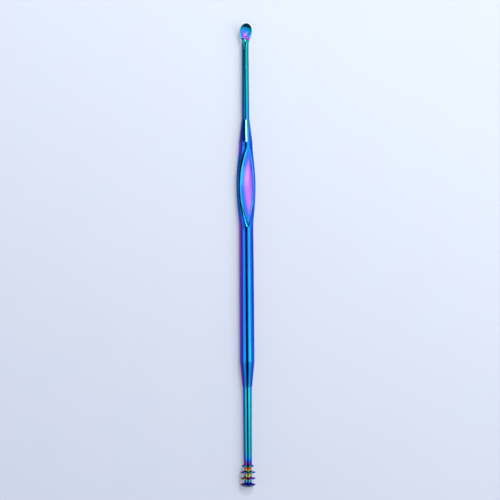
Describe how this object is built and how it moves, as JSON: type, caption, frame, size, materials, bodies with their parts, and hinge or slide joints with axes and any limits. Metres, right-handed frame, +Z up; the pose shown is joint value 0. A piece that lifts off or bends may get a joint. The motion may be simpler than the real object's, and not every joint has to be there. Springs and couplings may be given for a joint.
{
  "type": "ear pick",
  "caption": "Slim polished metal ear pick with a small tilted spoon at one end, a turned ringed head at the other, and a round shank with a pressed thumb grip between them.",
  "frame": {"origin": "on the supporting surface, under the middle of the pick's length and on its centre plane", "axes": "+Z up, +Y along the pick towards the spoon, +X across it; the grip's pressed hollows face +Z and -Z and the spoon opens towards +Z"},
  "size_m": [0.0054, 0.125, 0.0041],
  "materials": {
    "rainbow_steel": "polished stainless steel with a glossy rainbow interference coat, mostly blue and violet on the bar, teal on the necks and olive to crimson between the rings"
  },
  "bodies": {
    "root": {"ear_pick": "rainbow_steel"}
  },
  "joints": []
}
